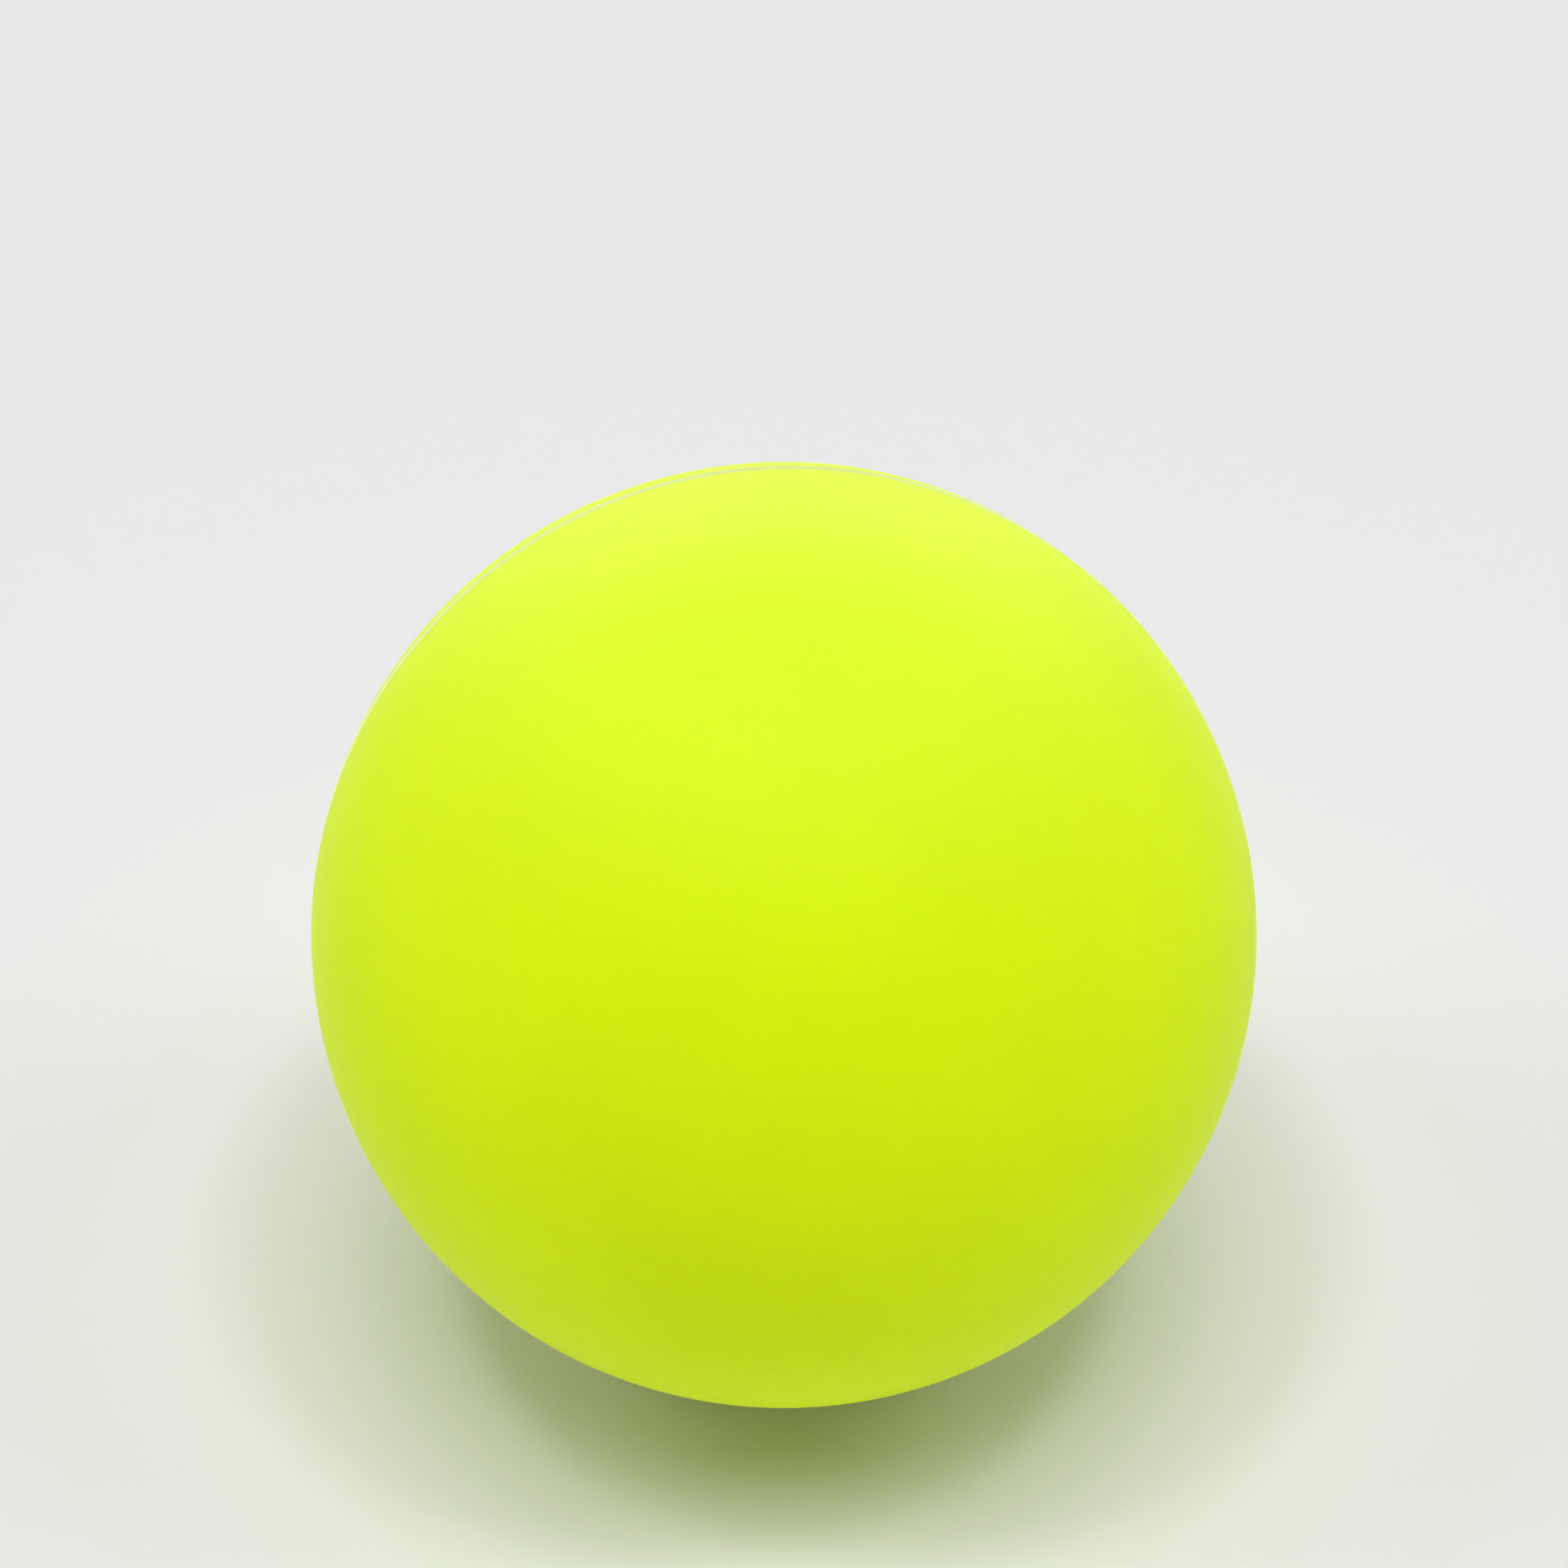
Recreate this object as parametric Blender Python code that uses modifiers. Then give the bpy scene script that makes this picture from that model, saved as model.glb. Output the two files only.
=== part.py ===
"""Lacrosse ball: a filled rubber core closed in by two moulded halves of coloured cover rubber.

Metres, +Z up, origin at the ball's centre. The halves meet at the mould's parting plane on a skived
joint, a cone that slopes inwards so that one rim nests inside the other. The moulding axis leans, as the
ball happens to lie. The lowest point is flat, where the ball's own weight presses it on a table.
"""

import math

import bpy

# Driving dimensions, in metres
BALL_DIAMETER = 0.0635  # 199.5 mm round: the game allows 196.9 to 203.2 mm
COVER_WALL = 0.0060  # coloured rubber over the core
BOND_GAP = 0.0003  # room left between two faces that are bonded together
REST_PATCH_DIAMETER = 0.0042  # contact patch of 145 g of rubber standing on a table

# Driving angles, in degrees
SKIVE_ANGLE = 30.0  # slope of the cover's joint, from the parting plane
MOULD_AXIS_ELEVATION = 24.0  # the front pole of the mould, above the horizon
MOULD_AXIS_BEARING = 6.0  # the front pole of the mould, from -Y towards +X

# Facets
TURN_STEPS = 64  # round the ball, and round its joint
QUARTER_STEPS = 16  # from a pole of the ball to its equator
CORE_SEGMENTS = 48
CORE_RINGS = 24

# Finishes: colour, roughness
COVER_FINISH = ((0.70, 0.90, 0.010), 0.55)
CORE_FINISH = ((0.30, 0.29, 0.26), 0.85)

# Sizes that follow from the driving ones
BALL_RADIUS = BALL_DIAMETER / 2
CAVITY_RADIUS = BALL_RADIUS - COVER_WALL
CORE_RADIUS = CAVITY_RADIUS - BOND_GAP
REST_PATCH_RADIUS = REST_PATCH_DIAMETER / 2
REST_HEIGHT = math.sqrt(BALL_RADIUS**2 - REST_PATCH_RADIUS**2)  # from the patch up to the centre
CUTTER_REACH = 1.5 * BALL_RADIUS  # a cutter runs this far past the centre, well clear of the ball


def clear_scene():
    for obj in list(bpy.data.objects):
        bpy.data.objects.remove(obj, do_unlink=True)


def new_collection(name):
    collection = bpy.data.collections.new(name)
    bpy.context.scene.collection.children.link(collection)
    return collection


def rubber(name, finish):
    """A matt rubber of one colour."""
    colour, roughness = finish
    material = bpy.data.materials.new(name)
    material.use_nodes = True
    shader = material.node_tree.nodes["Principled BSDF"]
    shader.inputs["Base Color"].default_value = (*colour, 1.0)
    shader.inputs["Roughness"].default_value = roughness
    shader.inputs["Metallic"].default_value = 0.0
    return material


def take_primitive(name, collection, parent):
    """Names the primitive that was just added and moves it to its collection, in its parent's frame."""
    obj = bpy.context.object
    obj.name = name
    obj.data.name = name
    for other in list(obj.users_collection):
        other.objects.unlink(obj)
    collection.objects.link(obj)
    obj.parent = parent
    return obj


def make_cutter(obj):
    obj.hide_render = True
    obj.display_type = "WIRE"
    return obj


def mould_axis(collection):
    """An empty at the ball's centre whose +Z is the moulding axis, towards the front pole."""
    empty = bpy.data.objects.new("mould_axis", None)
    empty.empty_display_size = BALL_RADIUS
    empty.rotation_euler = (math.radians(90.0 - MOULD_AXIS_ELEVATION), 0.0, math.radians(MOULD_AXIS_BEARING))
    collection.objects.link(empty)
    return empty


def round_core(name, radius, collection, axis):
    """The core's ball shape, which also makes the cavity that the cover closes over it."""
    bpy.ops.mesh.primitive_uv_sphere_add(segments=CORE_SEGMENTS, ring_count=CORE_RINGS, radius=radius)
    obj = take_primitive(name, collection, axis)
    obj.data.shade_smooth()
    return obj


def skive_cone(name, offset, collection, axis):
    """The cone of the skived joint, moved along its normal by offset, and everything behind it.

    Its side meets the ball's surface at the parting plane and rises inwards at the skive angle.
    """
    slope = math.radians(SKIVE_ANGLE)
    apex = BALL_RADIUS * math.tan(slope) + offset / math.cos(slope)
    depth = apex + CUTTER_REACH
    bpy.ops.mesh.primitive_cone_add(
        vertices=TURN_STEPS,
        radius1=depth / math.tan(slope),
        radius2=0.0,
        depth=depth,
        location=(0.0, 0.0, apex - depth / 2),
    )
    return make_cutter(take_primitive(name, collection, axis))


def ball_profile():
    """The ball's outline in (radius, height), from its top pole down to the middle of the rest patch."""
    patch_angle = math.acos(REST_PATCH_RADIUS / BALL_RADIUS)
    upper = [math.pi / 2 * (1 - i / QUARTER_STEPS) for i in range(QUARTER_STEPS)]
    lower = [-patch_angle * i / QUARTER_STEPS for i in range(QUARTER_STEPS + 1)]
    arc = [(BALL_RADIUS * math.cos(angle), BALL_RADIUS * math.sin(angle)) for angle in upper + lower]
    return [(0.0, BALL_RADIUS)] + arc[1:] + [(0.0, -REST_HEIGHT)]


def turned_ball(name, collection):
    """The whole ball as a turned solid, flat where it rests. A cover half is cut from it."""
    profile = ball_profile()
    mesh = bpy.data.meshes.new(name)
    edges = [(i, i + 1) for i in range(len(profile) - 1)]
    mesh.from_pydata([(radius, 0.0, height) for radius, height in profile], edges, [])
    obj = bpy.data.objects.new(name, mesh)
    collection.objects.link(obj)
    screw = obj.modifiers.new("turn", "SCREW")
    screw.steps = TURN_STEPS
    screw.render_steps = TURN_STEPS
    screw.use_merge_vertices = True
    screw.merge_threshold = 1e-5
    screw.use_smooth_shade = True
    return obj


def cut(obj, cutter, operation):
    boolean = obj.modifiers.new(cutter.name, "BOOLEAN")
    boolean.operation = operation
    boolean.object = cutter


def cover_half(name, side, skive, cavity, collection):
    """One half of the cover: the ball on one side of the skived joint, hollowed for the core."""
    half = turned_ball(name, collection)
    cut(half, skive, side)
    cut(half, cavity, "DIFFERENCE")
    return half


def main():
    clear_scene()
    parts = new_collection("lacrosse_ball")
    cutters = new_collection("lacrosse_ball_cutters")
    cover_rubber = rubber("cover_rubber", COVER_FINISH)
    core_rubber = rubber("core_rubber", CORE_FINISH)
    axis = mould_axis(parts)

    cavity = make_cutter(round_core("core_cavity", CAVITY_RADIUS, cutters, axis))
    front_skive = skive_cone("front_skive", BOND_GAP / 2, cutters, axis)
    rear_skive = skive_cone("rear_skive", -BOND_GAP / 2, cutters, axis)

    core = round_core("rubber_core", CORE_RADIUS, parts, axis)
    front = cover_half("front_cover_half", "DIFFERENCE", front_skive, cavity, parts)
    rear = cover_half("rear_cover_half", "INTERSECT", rear_skive, cavity, parts)

    core.data.materials.append(core_rubber)
    for half in (front, rear):
        half.data.materials.append(cover_rubber)


main()
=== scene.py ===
"""Lacrosse ball: the finish of its moulded rubber, its parting line, and the table it stands on.

Metres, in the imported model's frame: origin at the ball's centre, +Z up, the viewer at -Y.
"""

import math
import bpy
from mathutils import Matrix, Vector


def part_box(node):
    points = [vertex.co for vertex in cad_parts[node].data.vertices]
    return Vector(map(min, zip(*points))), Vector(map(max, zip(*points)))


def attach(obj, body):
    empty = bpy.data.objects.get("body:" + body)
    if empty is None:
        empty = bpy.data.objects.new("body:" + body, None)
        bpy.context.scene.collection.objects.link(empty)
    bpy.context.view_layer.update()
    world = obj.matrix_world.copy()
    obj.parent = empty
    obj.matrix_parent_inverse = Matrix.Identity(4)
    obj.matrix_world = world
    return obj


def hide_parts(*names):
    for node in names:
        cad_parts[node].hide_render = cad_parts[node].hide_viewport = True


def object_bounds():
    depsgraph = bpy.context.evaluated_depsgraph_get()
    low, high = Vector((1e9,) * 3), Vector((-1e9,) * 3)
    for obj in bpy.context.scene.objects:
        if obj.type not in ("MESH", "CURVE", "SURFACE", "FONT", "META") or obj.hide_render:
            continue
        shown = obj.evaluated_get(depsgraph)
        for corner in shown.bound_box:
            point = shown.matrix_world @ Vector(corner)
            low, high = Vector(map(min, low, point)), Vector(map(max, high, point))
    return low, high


bl_info = {
    "name": "Lacrosse Ball",
    "version": (1, 0, 0),
    "blender": (4, 5, 0),
    "location": "3D View > Sidebar > Lacrosse Ball",
    "description": "Moulds the two halves of a rubber ball over its core and sets it on a studio table",
    "category": "Object",
}

import bmesh
import bpy
from bpy.props import FloatProperty, FloatVectorProperty, IntProperty, PointerProperty
from mathutils import Euler, Vector

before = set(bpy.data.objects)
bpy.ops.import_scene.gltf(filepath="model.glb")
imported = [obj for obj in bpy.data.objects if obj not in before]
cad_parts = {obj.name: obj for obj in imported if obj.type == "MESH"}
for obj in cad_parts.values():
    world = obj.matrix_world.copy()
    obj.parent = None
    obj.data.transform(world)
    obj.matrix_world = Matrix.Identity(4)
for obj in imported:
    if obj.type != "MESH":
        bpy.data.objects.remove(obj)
CAD_LOW, CAD_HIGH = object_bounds()
CORE_LOW, CORE_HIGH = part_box("rubber_core")

MM = 0.001
BODY = "root"
CENTRE = (0.0, 0.0, 0.0)
BISECT_THRESHOLD = 1e-7
SAME_LEVEL = 1e-6
WITNESS_STEPS = 4
SEAM_SEGMENTS = 3
SMOOTH_ANGLE = math.radians(30.0)
TABLE_SIZE = 40.0

# Sine of the height above the horizon up to which the room's walls are white, and where they are dark
WALL_WHITE_TO = 0.05
WALL_DARK_FROM = 0.40

# The photograph's square frame, and the rows where the ball's outline is highest and lowest in it, in pixels
PHOTO_SIDE = 1932
BALL_TOP_ROW = 569
BALL_BOTTOM_ROW = 1735


def linear(hex_colour):
    """An sRGB hex colour, such as #ffffff, as linear red, green and blue."""
    shares = [int(hex_colour[i : i + 2], 16) / 255 for i in (1, 3, 5)]
    return tuple(s / 12.92 if s <= 0.04045 else ((s + 0.055) / 1.055) ** 2.4 for s in shares)


class BallSizes(bpy.types.PropertyGroup):
    """Sizes of the ball and of its parting line."""

    diameter: FloatProperty(
        name="Diameter",
        description="Outside of the ball",
        default=CAD_HIGH.x - CAD_LOW.x,
        unit="LENGTH",
    )
    rest_height: FloatProperty(
        name="Rest height",
        description="From the flat patch that the ball stands on up to its centre",
        default=-CAD_LOW.z,
        unit="LENGTH",
    )
    core_diameter: FloatProperty(
        name="Core diameter",
        description="Outside of the core",
        default=CORE_HIGH.x - CORE_LOW.x,
        unit="LENGTH",
    )
    bond_gap: FloatProperty(
        name="Bond gap",
        description="Room left between the core and the cover",
        default=0.3 * MM,
        unit="LENGTH",
    )
    skive_angle: FloatProperty(
        name="Skive angle",
        description="Slope of the joint between the halves, from the parting plane",
        default=math.radians(30.0),
        subtype="ANGLE",
    )
    axis_elevation: FloatProperty(
        name="Mould axis elevation",
        description="The front pole of the mould, above the horizon",
        default=math.radians(24.0),
        subtype="ANGLE",
    )
    axis_bearing: FloatProperty(
        name="Mould axis bearing",
        description="The front pole of the mould, from the viewer towards the right",
        default=math.radians(6.0),
        subtype="ANGLE",
    )
    witness_width: FloatProperty(
        name="Witness width",
        description="Band along the parting line where the flash was ground off",
        default=1.2 * MM,
        unit="LENGTH",
    )
    witness_height: FloatProperty(
        name="Witness height",
        description="How far the ground band stands proud",
        default=0.03 * MM,
        unit="LENGTH",
    )
    seam_gap: FloatProperty(
        name="Seam gap",
        description="Hairline between the two halves",
        default=0.02 * MM,
        unit="LENGTH",
    )
    seam_round: FloatProperty(
        name="Seam rounding",
        description="Rounding of each half's edge at the seam",
        default=0.04 * MM,
        unit="LENGTH",
    )
    segments: IntProperty(name="Segments", description="Faces round the ball", default=192, min=16)
    rings: IntProperty(name="Rings", description="Faces from pole to pole", default=96, min=8)


class BallFinish(bpy.types.PropertyGroup):
    """Colours of the rubber."""

    cover_colour: FloatVectorProperty(
        name="Cover",
        description="Coloured rubber of the cover",
        default=linear("#daf500"),
        subtype="COLOR",
    )
    ground_colour: FloatVectorProperty(
        name="Ground band",
        description="Cover rubber where the flash was ground off",
        default=linear("#dcf320"),
        subtype="COLOR",
    )
    core_colour: FloatVectorProperty(
        name="Core",
        description="Filled rubber of the core",
        default=linear("#94928b"),
        subtype="COLOR",
    )


class StudioStage(bpy.types.PropertyGroup):
    """Camera, table and light."""

    camera_elevation: FloatProperty(
        name="Camera elevation",
        description="The viewer, above the horizon",
        default=math.radians(40.0),
        subtype="ANGLE",
    )
    lens: FloatProperty(name="Lens", description="Focal length in millimetres", default=85.0, unit="CAMERA")
    table_colour: FloatVectorProperty(
        name="Table",
        description="White paper that the ball stands on",
        default=linear("#e6e6e8"),
        subtype="COLOR",
    )
    backdrop_colour: FloatVectorProperty(
        name="Backdrop",
        description="What is seen past the table's edge",
        default=linear("#e8e8ea"),
        subtype="COLOR",
    )
    wall_light: FloatProperty(
        name="Wall light",
        description="Radiance of the white walls all round, which fades out above them",
        default=1.61,
        min=0.0,
    )
    key_light: FloatProperty(
        name="Key light", description="Large softbox overhead, in W/m2", default=1.38, min=0.0
    )
    pair_light: FloatProperty(
        name="Pair light", description="Small lamp overhead on either side, in W/m2", default=0.30, min=0.0
    )
    side_light: FloatProperty(
        name="Side light", description="Softbox on either side, in W/m2", default=0.48, min=0.0
    )
    back_light: FloatProperty(
        name="Back light", description="Wide softbox behind, in W/m2", default=0.39, min=0.0
    )
    card_light: FloatProperty(
        name="Card light",
        description="Wide white card overhead, seen by the gloss alone, in W/m2",
        default=9.8,
        min=0.0,
    )


def add_node(tree, kind, settings=None, inputs=None):
    """Adds one node with its settings. An input takes a plain value, or a socket that it is linked to."""
    node = tree.nodes.new(kind)
    for name, value in (settings or {}).items():
        setattr(node, name, value)
    for key, value in (inputs or {}).items():
        if isinstance(value, bpy.types.NodeSocket):
            tree.links.new(value, node.inputs[key])
        else:
            node.inputs[key].default_value = value
    return node


def new_material(name):
    material = bpy.data.materials.new(name)
    material.use_nodes = True
    material.node_tree.nodes.clear()
    return material, material.node_tree


def mould_rotation(sizes):
    """Turns +Z to the moulding axis, towards the front pole."""
    return Euler((math.pi / 2 - sizes.axis_elevation, 0.0, sizes.axis_bearing))


def moulded_cover_rubber(finish):
    """Compression-moulded rubber with an opaque chartreuse pigment.

    The mould was bead-blasted, so the skin is matt with a fine grain, and the ball's edge looks a little
    paler than its face. The pigment is milled in, so the colour drifts by a shade.
    """
    drift_size = 14 * MM
    grain_size = 0.5 * MM  # coarser than a blasted mould leaves it, so that it shows
    material, tree = new_material("moulded_chartreuse_rubber")
    place = add_node(tree, "ShaderNodeTexCoord").outputs["Object"]
    drift = add_node(
        tree, "ShaderNodeTexNoise", inputs={"Vector": place, "Scale": 1 / drift_size, "Detail": 3.0}
    )
    shades = add_node(tree, "ShaderNodeValToRGB", inputs={"Fac": drift.outputs[0]})
    cover = Vector(finish.cover_colour)
    shades.color_ramp.elements[0].color = (*(cover * 0.97), 1.0)
    shades.color_ramp.elements[1].color = (*cover, 1.0)
    shades.color_ramp.elements[0].position = 0.35
    shades.color_ramp.elements[1].position = 0.65
    grain = add_node(
        tree, "ShaderNodeTexNoise", inputs={"Vector": place, "Scale": 1 / grain_size, "Detail": 2.0}
    )
    roughness = add_node(
        tree,
        "ShaderNodeMapRange",
        inputs={"Value": grain.outputs[0], "From Min": 0.3, "From Max": 0.7, "To Min": 0.50, "To Max": 0.60},
    )
    bump = add_node(
        tree,
        "ShaderNodeBump",
        inputs={"Height": grain.outputs[0], "Strength": 0.25, "Distance": 0.02 * MM},
    )
    shader = add_node(
        tree,
        "ShaderNodeBsdfPrincipled",
        inputs={
            "Base Color": shades.outputs["Color"],
            "Roughness": roughness.outputs[0],
            "Normal": bump.outputs[0],
            "IOR": 1.52,
            "Specular IOR Level": 0.06,
            "Sheen Weight": 0.05,
            "Sheen Roughness": 0.35,
            "Subsurface Weight": 0.4,
            "Subsurface Radius": (0.9, 1.0, 0.1),
            "Subsurface Scale": 2.0 * MM,
        },
    )
    add_node(tree, "ShaderNodeOutputMaterial", inputs={"Surface": shader.outputs[0]})
    return material


def ground_cover_rubber(finish):
    """The same rubber where a grinding wheel took the flash off the parting line.

    The torn skin is dull and scuffed, a shade paler than the moulded skin, and chalky when seen along it.
    """
    scuff_size = 0.6 * MM  # coarser than the wheel's grit, so that it shows
    material, tree = new_material("ground_chartreuse_rubber")
    place = add_node(tree, "ShaderNodeTexCoord").outputs["Object"]
    scuff = add_node(
        tree, "ShaderNodeTexNoise", inputs={"Vector": place, "Scale": 1 / scuff_size, "Detail": 3.0}
    )
    shades = add_node(tree, "ShaderNodeValToRGB", inputs={"Fac": scuff.outputs[0]})
    ground = Vector(finish.ground_colour)
    shades.color_ramp.elements[0].color = (*(ground * 0.9), 1.0)
    shades.color_ramp.elements[1].color = (*ground, 1.0)
    shades.color_ramp.elements[0].position = 0.3
    shades.color_ramp.elements[1].position = 0.7
    bump = add_node(
        tree,
        "ShaderNodeBump",
        inputs={"Height": scuff.outputs[0], "Strength": 0.5, "Distance": 0.04 * MM},
    )
    shader = add_node(
        tree,
        "ShaderNodeBsdfPrincipled",
        inputs={
            "Base Color": shades.outputs["Color"],
            "Roughness": 0.8,
            "Normal": bump.outputs[0],
            "IOR": 1.52,
            "Specular IOR Level": 0.06,
            "Sheen Weight": 1.0,
            "Sheen Roughness": 0.5,
        },
    )
    add_node(tree, "ShaderNodeOutputMaterial", inputs={"Surface": shader.outputs[0]})
    return material


def buffed_core_rubber(finish):
    """Grey filled rubber, buffed with a rasp so that the cover bonds to it.

    It is dull, with short scratches and specks of filler.
    """
    speck_size = 1.2 * MM
    scratch_length = 2.5 * MM
    scratch_stretch = 6.0
    material, tree = new_material("buffed_filled_rubber")
    place = add_node(tree, "ShaderNodeTexCoord").outputs["Object"]
    core = Vector(finish.core_colour)
    specks = add_node(
        tree, "ShaderNodeTexNoise", inputs={"Vector": place, "Scale": 1 / speck_size, "Detail": 4.0}
    )
    shades = add_node(tree, "ShaderNodeValToRGB", inputs={"Fac": specks.outputs[0]})
    shades.color_ramp.elements[0].color = (*(core * 0.7), 1.0)
    shades.color_ramp.elements[1].color = (*(core * 1.15), 1.0)
    stretched = add_node(
        tree, "ShaderNodeMapping", inputs={"Vector": place, "Scale": (1.0, 1.0, scratch_stretch)}
    )
    rasp = add_node(
        tree,
        "ShaderNodeTexNoise",
        inputs={"Vector": stretched.outputs[0], "Scale": 1 / scratch_length, "Detail": 3.0},
    )
    bump = add_node(
        tree, "ShaderNodeBump", inputs={"Height": rasp.outputs[0], "Strength": 0.6, "Distance": 0.15 * MM}
    )
    shader = add_node(
        tree,
        "ShaderNodeBsdfPrincipled",
        inputs={
            "Base Color": shades.outputs["Color"],
            "Roughness": 0.85,
            "Normal": bump.outputs[0],
            "IOR": 1.52,
        },
    )
    add_node(tree, "ShaderNodeOutputMaterial", inputs={"Surface": shader.outputs[0]})
    return material


def paper_sweep(stage):
    """White sweep of matt paper, pale and even, so that only the ball's shadow shows on it."""
    material, tree = new_material("matt_white_paper")
    shader = add_node(
        tree,
        "ShaderNodeBsdfPrincipled",
        inputs={"Base Color": (*stage.table_colour, 1.0), "Roughness": 1.0, "Specular IOR Level": 0.0},
    )
    add_node(tree, "ShaderNodeOutputMaterial", inputs={"Surface": shader.outputs[0]})
    return material


def select_where(test):
    """In edit mode, selects just the vertices whose place passes the test."""
    mesh = bmesh.from_edit_mesh(bpy.context.object.data)
    bpy.ops.mesh.select_mode(type="VERT")
    bpy.ops.mesh.select_all(action="DESELECT")
    for vertex in mesh.verts:
        vertex.select = test(vertex.co)
    mesh.select_flush_mode()
    bmesh.update_edit_mesh(bpy.context.object.data)


def cut_level(height, **sides):
    """Cuts the selected faces level at this height. Sides says what the cut drops and closes."""
    bpy.ops.mesh.bisect(
        plane_co=(0.0, 0.0, height), plane_no=(0.0, 0.0, 1.0), threshold=BISECT_THRESHOLD, **sides
    )


def raise_witness(sizes, side):
    """Lifts the band along the parting line that is left where the flash was ground off.

    Its crest takes half of its width, and its flank steps down to the skin.
    """
    crest = sizes.witness_width / 4
    tread = crest / WITNESS_STEPS
    for step in range(WITNESS_STEPS + 1):
        bpy.ops.mesh.select_all(action="SELECT")
        cut_level(side * (crest + step * tread))
    for step in range(WITNESS_STEPS):
        edge = crest + (step + 0.5) * tread
        select_where(lambda co: abs(co.z) < edge)
        lift = 1 + sizes.witness_height / WITNESS_STEPS / (sizes.diameter / 2)
        bpy.ops.transform.resize(value=(lift, lift, lift), center_override=CENTRE)


def cover_half(name, sizes, side, moulded, ground):
    """One moulded half of the cover, on its side of the parting plane, with its skived rim and its hollow."""
    radius = sizes.diameter / 2
    cavity = sizes.core_diameter / 2 + sizes.bond_gap
    slope = sizes.skive_angle
    keep = {"clear_inner": side > 0, "clear_outer": side < 0}
    edge = side * sizes.seam_gap / 2

    bpy.ops.object.select_all(action="DESELECT")
    bpy.ops.mesh.primitive_uv_sphere_add(segments=sizes.segments, ring_count=sizes.rings, radius=radius)
    half = bpy.context.object
    half.name = name
    half.data.name = name
    half.data.materials.append(moulded)
    half.data.materials.append(ground)
    bpy.ops.object.mode_set(mode="EDIT")
    bpy.ops.mesh.select_all(action="SELECT")
    cut_level(edge, **keep)
    raise_witness(sizes, side)

    # The skive runs inwards and up from the outer edge, until it meets the hollow
    reach = radius * math.cos(slope) - math.sqrt((radius * math.cos(slope)) ** 2 - radius**2 + cavity**2)
    bpy.ops.mesh.select_all(action="DESELECT")
    bpy.ops.mesh.primitive_uv_sphere_add(segments=sizes.segments, ring_count=sizes.rings // 2, radius=cavity)
    cut_level(edge + reach * math.sin(slope), **keep)
    bpy.ops.mesh.select_mode(type="EDGE")
    bpy.ops.mesh.select_all(action="DESELECT")
    bpy.ops.mesh.select_non_manifold(
        extend=False,
        use_wire=False,
        use_boundary=True,
        use_multi_face=False,
        use_non_contiguous=False,
        use_verts=False,
    )
    bpy.ops.mesh.bridge_edge_loops()
    bpy.ops.mesh.select_all(action="SELECT")
    bpy.ops.mesh.normals_make_consistent(inside=False)

    select_where(lambda co: abs(co.z - edge) < SAME_LEVEL and co.length > radius)
    bpy.ops.mesh.select_mode(type="EDGE")
    bpy.ops.mesh.bevel(offset=sizes.seam_round, segments=SEAM_SEGMENTS, affect="EDGES")
    band_edge = sizes.witness_width / 2 + SAME_LEVEL
    skin = radius - 2 * sizes.seam_round
    select_where(lambda co: abs(co.z) < band_edge and co.length > skin)
    half.active_material_index = 1
    bpy.ops.object.material_slot_assign()
    bpy.ops.object.mode_set(mode="OBJECT")

    half.rotation_euler = mould_rotation(sizes)
    bpy.ops.object.transform_apply(location=False, rotation=True, scale=False)
    bpy.ops.object.mode_set(mode="EDIT")
    bpy.ops.mesh.select_all(action="SELECT")
    cut_level(-sizes.rest_height, clear_inner=True, use_fill=True)
    bpy.ops.object.mode_set(mode="OBJECT")
    bpy.ops.object.shade_smooth_by_angle(angle=SMOOTH_ANGLE)
    return half


class LACROSSE_OT_cover_halves(bpy.types.Operator):
    """Moulds the two halves of the cover, which meet at the parting line"""

    bl_idname = "lacrosse.cover_halves"
    bl_label = "Cover Halves"

    def execute(self, context):
        sizes = context.scene.ball_sizes
        moulded = moulded_cover_rubber(context.scene.ball_finish)
        ground = ground_cover_rubber(context.scene.ball_finish)
        for side, name, node in (
            (1, "front_cover_moulding", "front_cover_half"),
            (-1, "rear_cover_moulding", "rear_cover_half"),
        ):
            half = cover_half(name, sizes, side, moulded, ground)
            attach(half, BODY)
            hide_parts(node)
        return {"FINISHED"}


class LACROSSE_OT_core(bpy.types.Operator):
    """Finishes the core as buffed filled rubber"""

    bl_idname = "lacrosse.core"
    bl_label = "Core"

    def execute(self, context):
        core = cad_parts["rubber_core"]
        core.data.materials.clear()
        core.data.materials.append(buffed_core_rubber(context.scene.ball_finish))
        return {"FINISHED"}


def photograph_camera(context):
    """Camera at the photograph's viewing angle, with the ball as large and as high in the frame as there."""
    sizes, stage = context.scene.ball_sizes, context.scene.studio_stage
    camera = bpy.data.cameras.new("photograph_camera")
    camera.lens = stage.lens
    pixels_to_tangent = camera.sensor_width / stage.lens / PHOTO_SIDE
    below = [math.atan((row - PHOTO_SIDE / 2) * pixels_to_tangent) for row in (BALL_TOP_ROW, BALL_BOTTOM_ROW)]
    half_angle = (below[1] - below[0]) / 2
    drop = (below[1] + below[0]) / 2
    distance = sizes.diameter / 2 / math.sin(half_angle)
    viewer = bpy.data.objects.new("photograph_camera", camera)
    context.scene.collection.objects.link(viewer)
    elevation = stage.camera_elevation
    viewer.location = (0.0, -distance * math.cos(elevation), distance * math.sin(elevation))
    viewer.rotation_euler = (math.pi / 2 - elevation + drop, 0.0, 0.0)
    context.scene.camera = viewer


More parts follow.
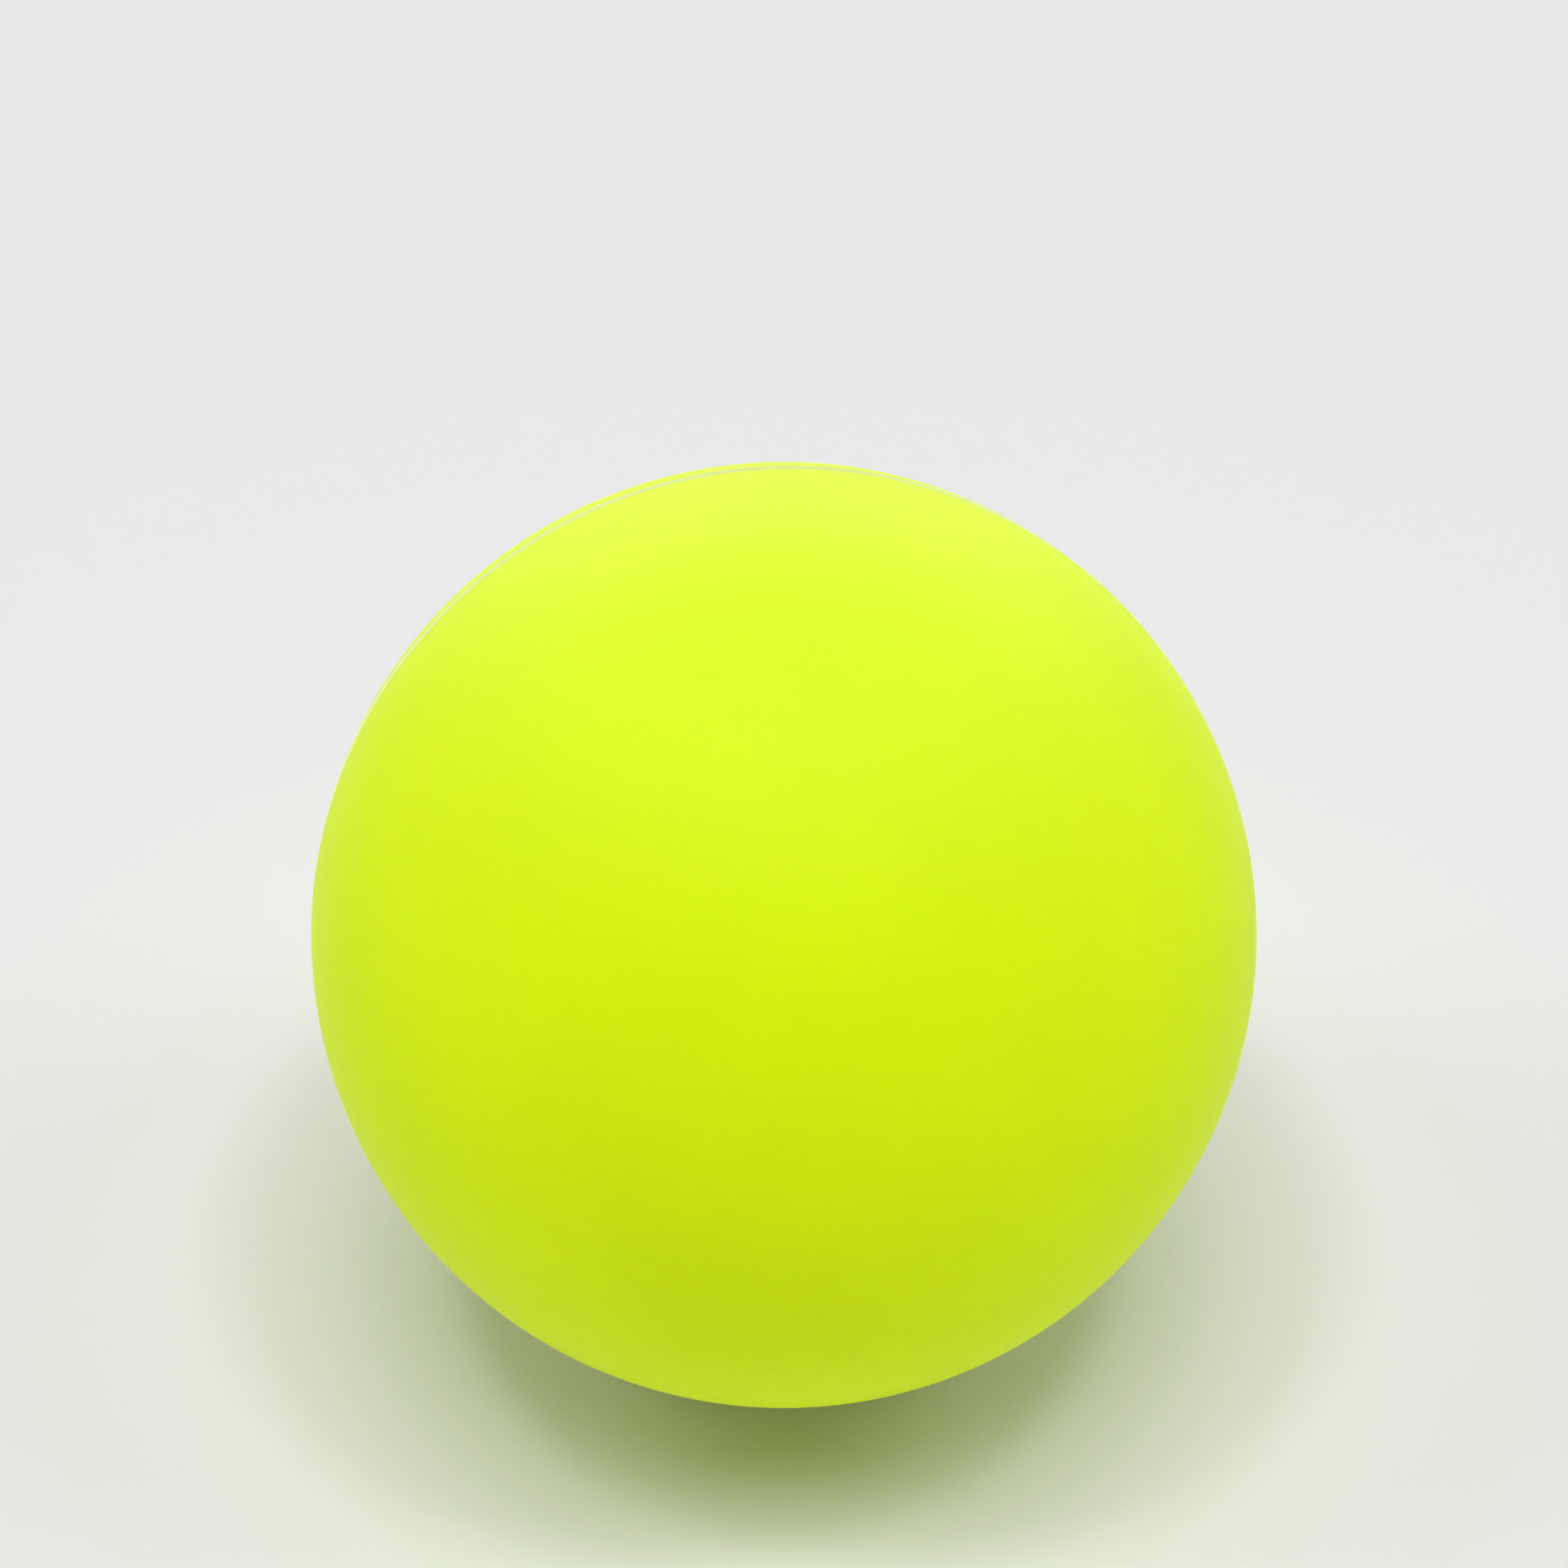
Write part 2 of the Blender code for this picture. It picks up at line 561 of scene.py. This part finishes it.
def softbox(context, name, strength, bearing, tilt, spread):
    """A lamp so far off that it lights the table evenly, with its angles in degrees.

    Bearing turns from the viewer towards the right, tilt is measured from overhead, and spread is the
    lamp's width as the ball sees it.
    """
    lamp = bpy.data.lights.new(name, "SUN")
    lamp.energy = strength
    lamp.angle = math.radians(spread)
    box = bpy.data.objects.new(name, lamp)
    box.rotation_euler = (math.radians(tilt), 0.0, math.radians(bearing))
    context.scene.collection.objects.link(box)
    return box


def studio_light(context):
    """Softboxes above, beside and behind the ball, in a white-walled room.

    The eye and the gloss see the pale backdrop instead of the walls.
    """
    stage = context.scene.studio_stage
    softbox(context, "key_softbox", stage.key_light, bearing=0, tilt=10, spread=40)
    softbox(context, "back_softbox", stage.back_light, bearing=180, tilt=35, spread=70)
    for side, hand in (("left", -1), ("right", 1)):
        softbox(context, side + "_lamp", stage.pair_light, bearing=hand * 65, tilt=18, spread=9)
        softbox(context, side + "_softbox", stage.side_light, bearing=hand * 90, tilt=45, spread=25)
    # The card pales the top of the ball by its gloss, and casts no shadow of its own on the table
    card = softbox(context, "overhead_card", stage.card_light, bearing=180, tilt=25, spread=120)
    card.visible_diffuse = False

    world = bpy.data.worlds.new("studio_room")
    context.scene.world = world
    world.use_nodes = True
    tree = world.node_tree
    tree.nodes.clear()
    rays = add_node(tree, "ShaderNodeLightPath")
    seen = rays.outputs["Is Camera Ray"]
    for kind in ("Is Glossy Ray", "Is Transmission Ray"):
        either = add_node(tree, "ShaderNodeMath", {"operation": "MAXIMUM"}, {0: seen, 1: rays.outputs[kind]})
        seen = either.outputs[0]
    direction = add_node(tree, "ShaderNodeTexCoord").outputs["Generated"]
    rise = add_node(tree, "ShaderNodeSeparateXYZ", inputs={0: direction}).outputs["Z"]
    walls = add_node(
        tree,
        "ShaderNodeMapRange",
        {"interpolation_type": "SMOOTHSTEP"},
        {
            "Value": rise,
            "From Min": WALL_WHITE_TO,
            "From Max": WALL_DARK_FROM,
            "To Min": stage.wall_light,
            "To Max": 0.0,
        },
    )
    room = add_node(
        tree, "ShaderNodeBackground", inputs={"Color": (1.0, 1.0, 1.0, 1.0), "Strength": walls.outputs[0]}
    )
    backdrop = add_node(tree, "ShaderNodeBackground", inputs={"Color": (*stage.backdrop_colour, 1.0)})
    both = add_node(
        tree, "ShaderNodeMixShader", inputs={0: seen, 1: room.outputs[0], 2: backdrop.outputs[0]}
    )
    add_node(tree, "ShaderNodeOutputWorld", inputs={"Surface": both.outputs[0]})


class LACROSSE_OT_stage(bpy.types.Operator):
    """Sets the table, the light and the camera"""

    bl_idname = "lacrosse.stage"
    bl_label = "Stage"

    def execute(self, context):
        sizes, stage = context.scene.ball_sizes, context.scene.studio_stage
        bpy.ops.object.select_all(action="DESELECT")
        bpy.ops.mesh.primitive_plane_add(size=TABLE_SIZE, location=(0.0, 0.0, -sizes.rest_height))
        table = context.object
        table.name = "paper_table"
        bpy.ops.object.transform_apply(location=True, rotation=False, scale=False)
        table.data.materials.append(paper_sweep(stage))
        studio_light(context)
        photograph_camera(context)
        context.scene.view_settings.view_transform = "Standard"
        return {"FINISHED"}


class LACROSSE_PT_panel(bpy.types.Panel):
    """Sizes, finishes and steps of the lacrosse ball"""

    bl_idname = "LACROSSE_PT_panel"
    bl_label = "Lacrosse Ball"
    bl_space_type = "VIEW_3D"
    bl_region_type = "UI"
    bl_category = "Lacrosse Ball"

    def draw(self, context):
        scene = context.scene
        for group in (scene.ball_sizes, scene.ball_finish, scene.studio_stage):
            column = self.layout.column()
            for name in group.__annotations__:
                column.prop(group, name)
        for step in STEPS:
            self.layout.operator(step.bl_idname)


STEPS = (LACROSSE_OT_cover_halves, LACROSSE_OT_core, LACROSSE_OT_stage)
CLASSES = (BallSizes, BallFinish, StudioStage, *STEPS, LACROSSE_PT_panel)


def register():
    for cls in CLASSES:
        bpy.utils.register_class(cls)
    bpy.types.Scene.ball_sizes = PointerProperty(type=BallSizes)
    bpy.types.Scene.ball_finish = PointerProperty(type=BallFinish)
    bpy.types.Scene.studio_stage = PointerProperty(type=StudioStage)


def unregister():
    del bpy.types.Scene.studio_stage
    del bpy.types.Scene.ball_finish
    del bpy.types.Scene.ball_sizes
    for cls in reversed(CLASSES):
        bpy.utils.unregister_class(cls)


def main():
    register()
    bpy.ops.lacrosse.cover_halves()
    bpy.ops.lacrosse.core()
    bpy.ops.lacrosse.stage()


if __name__ == "__main__":
    main()
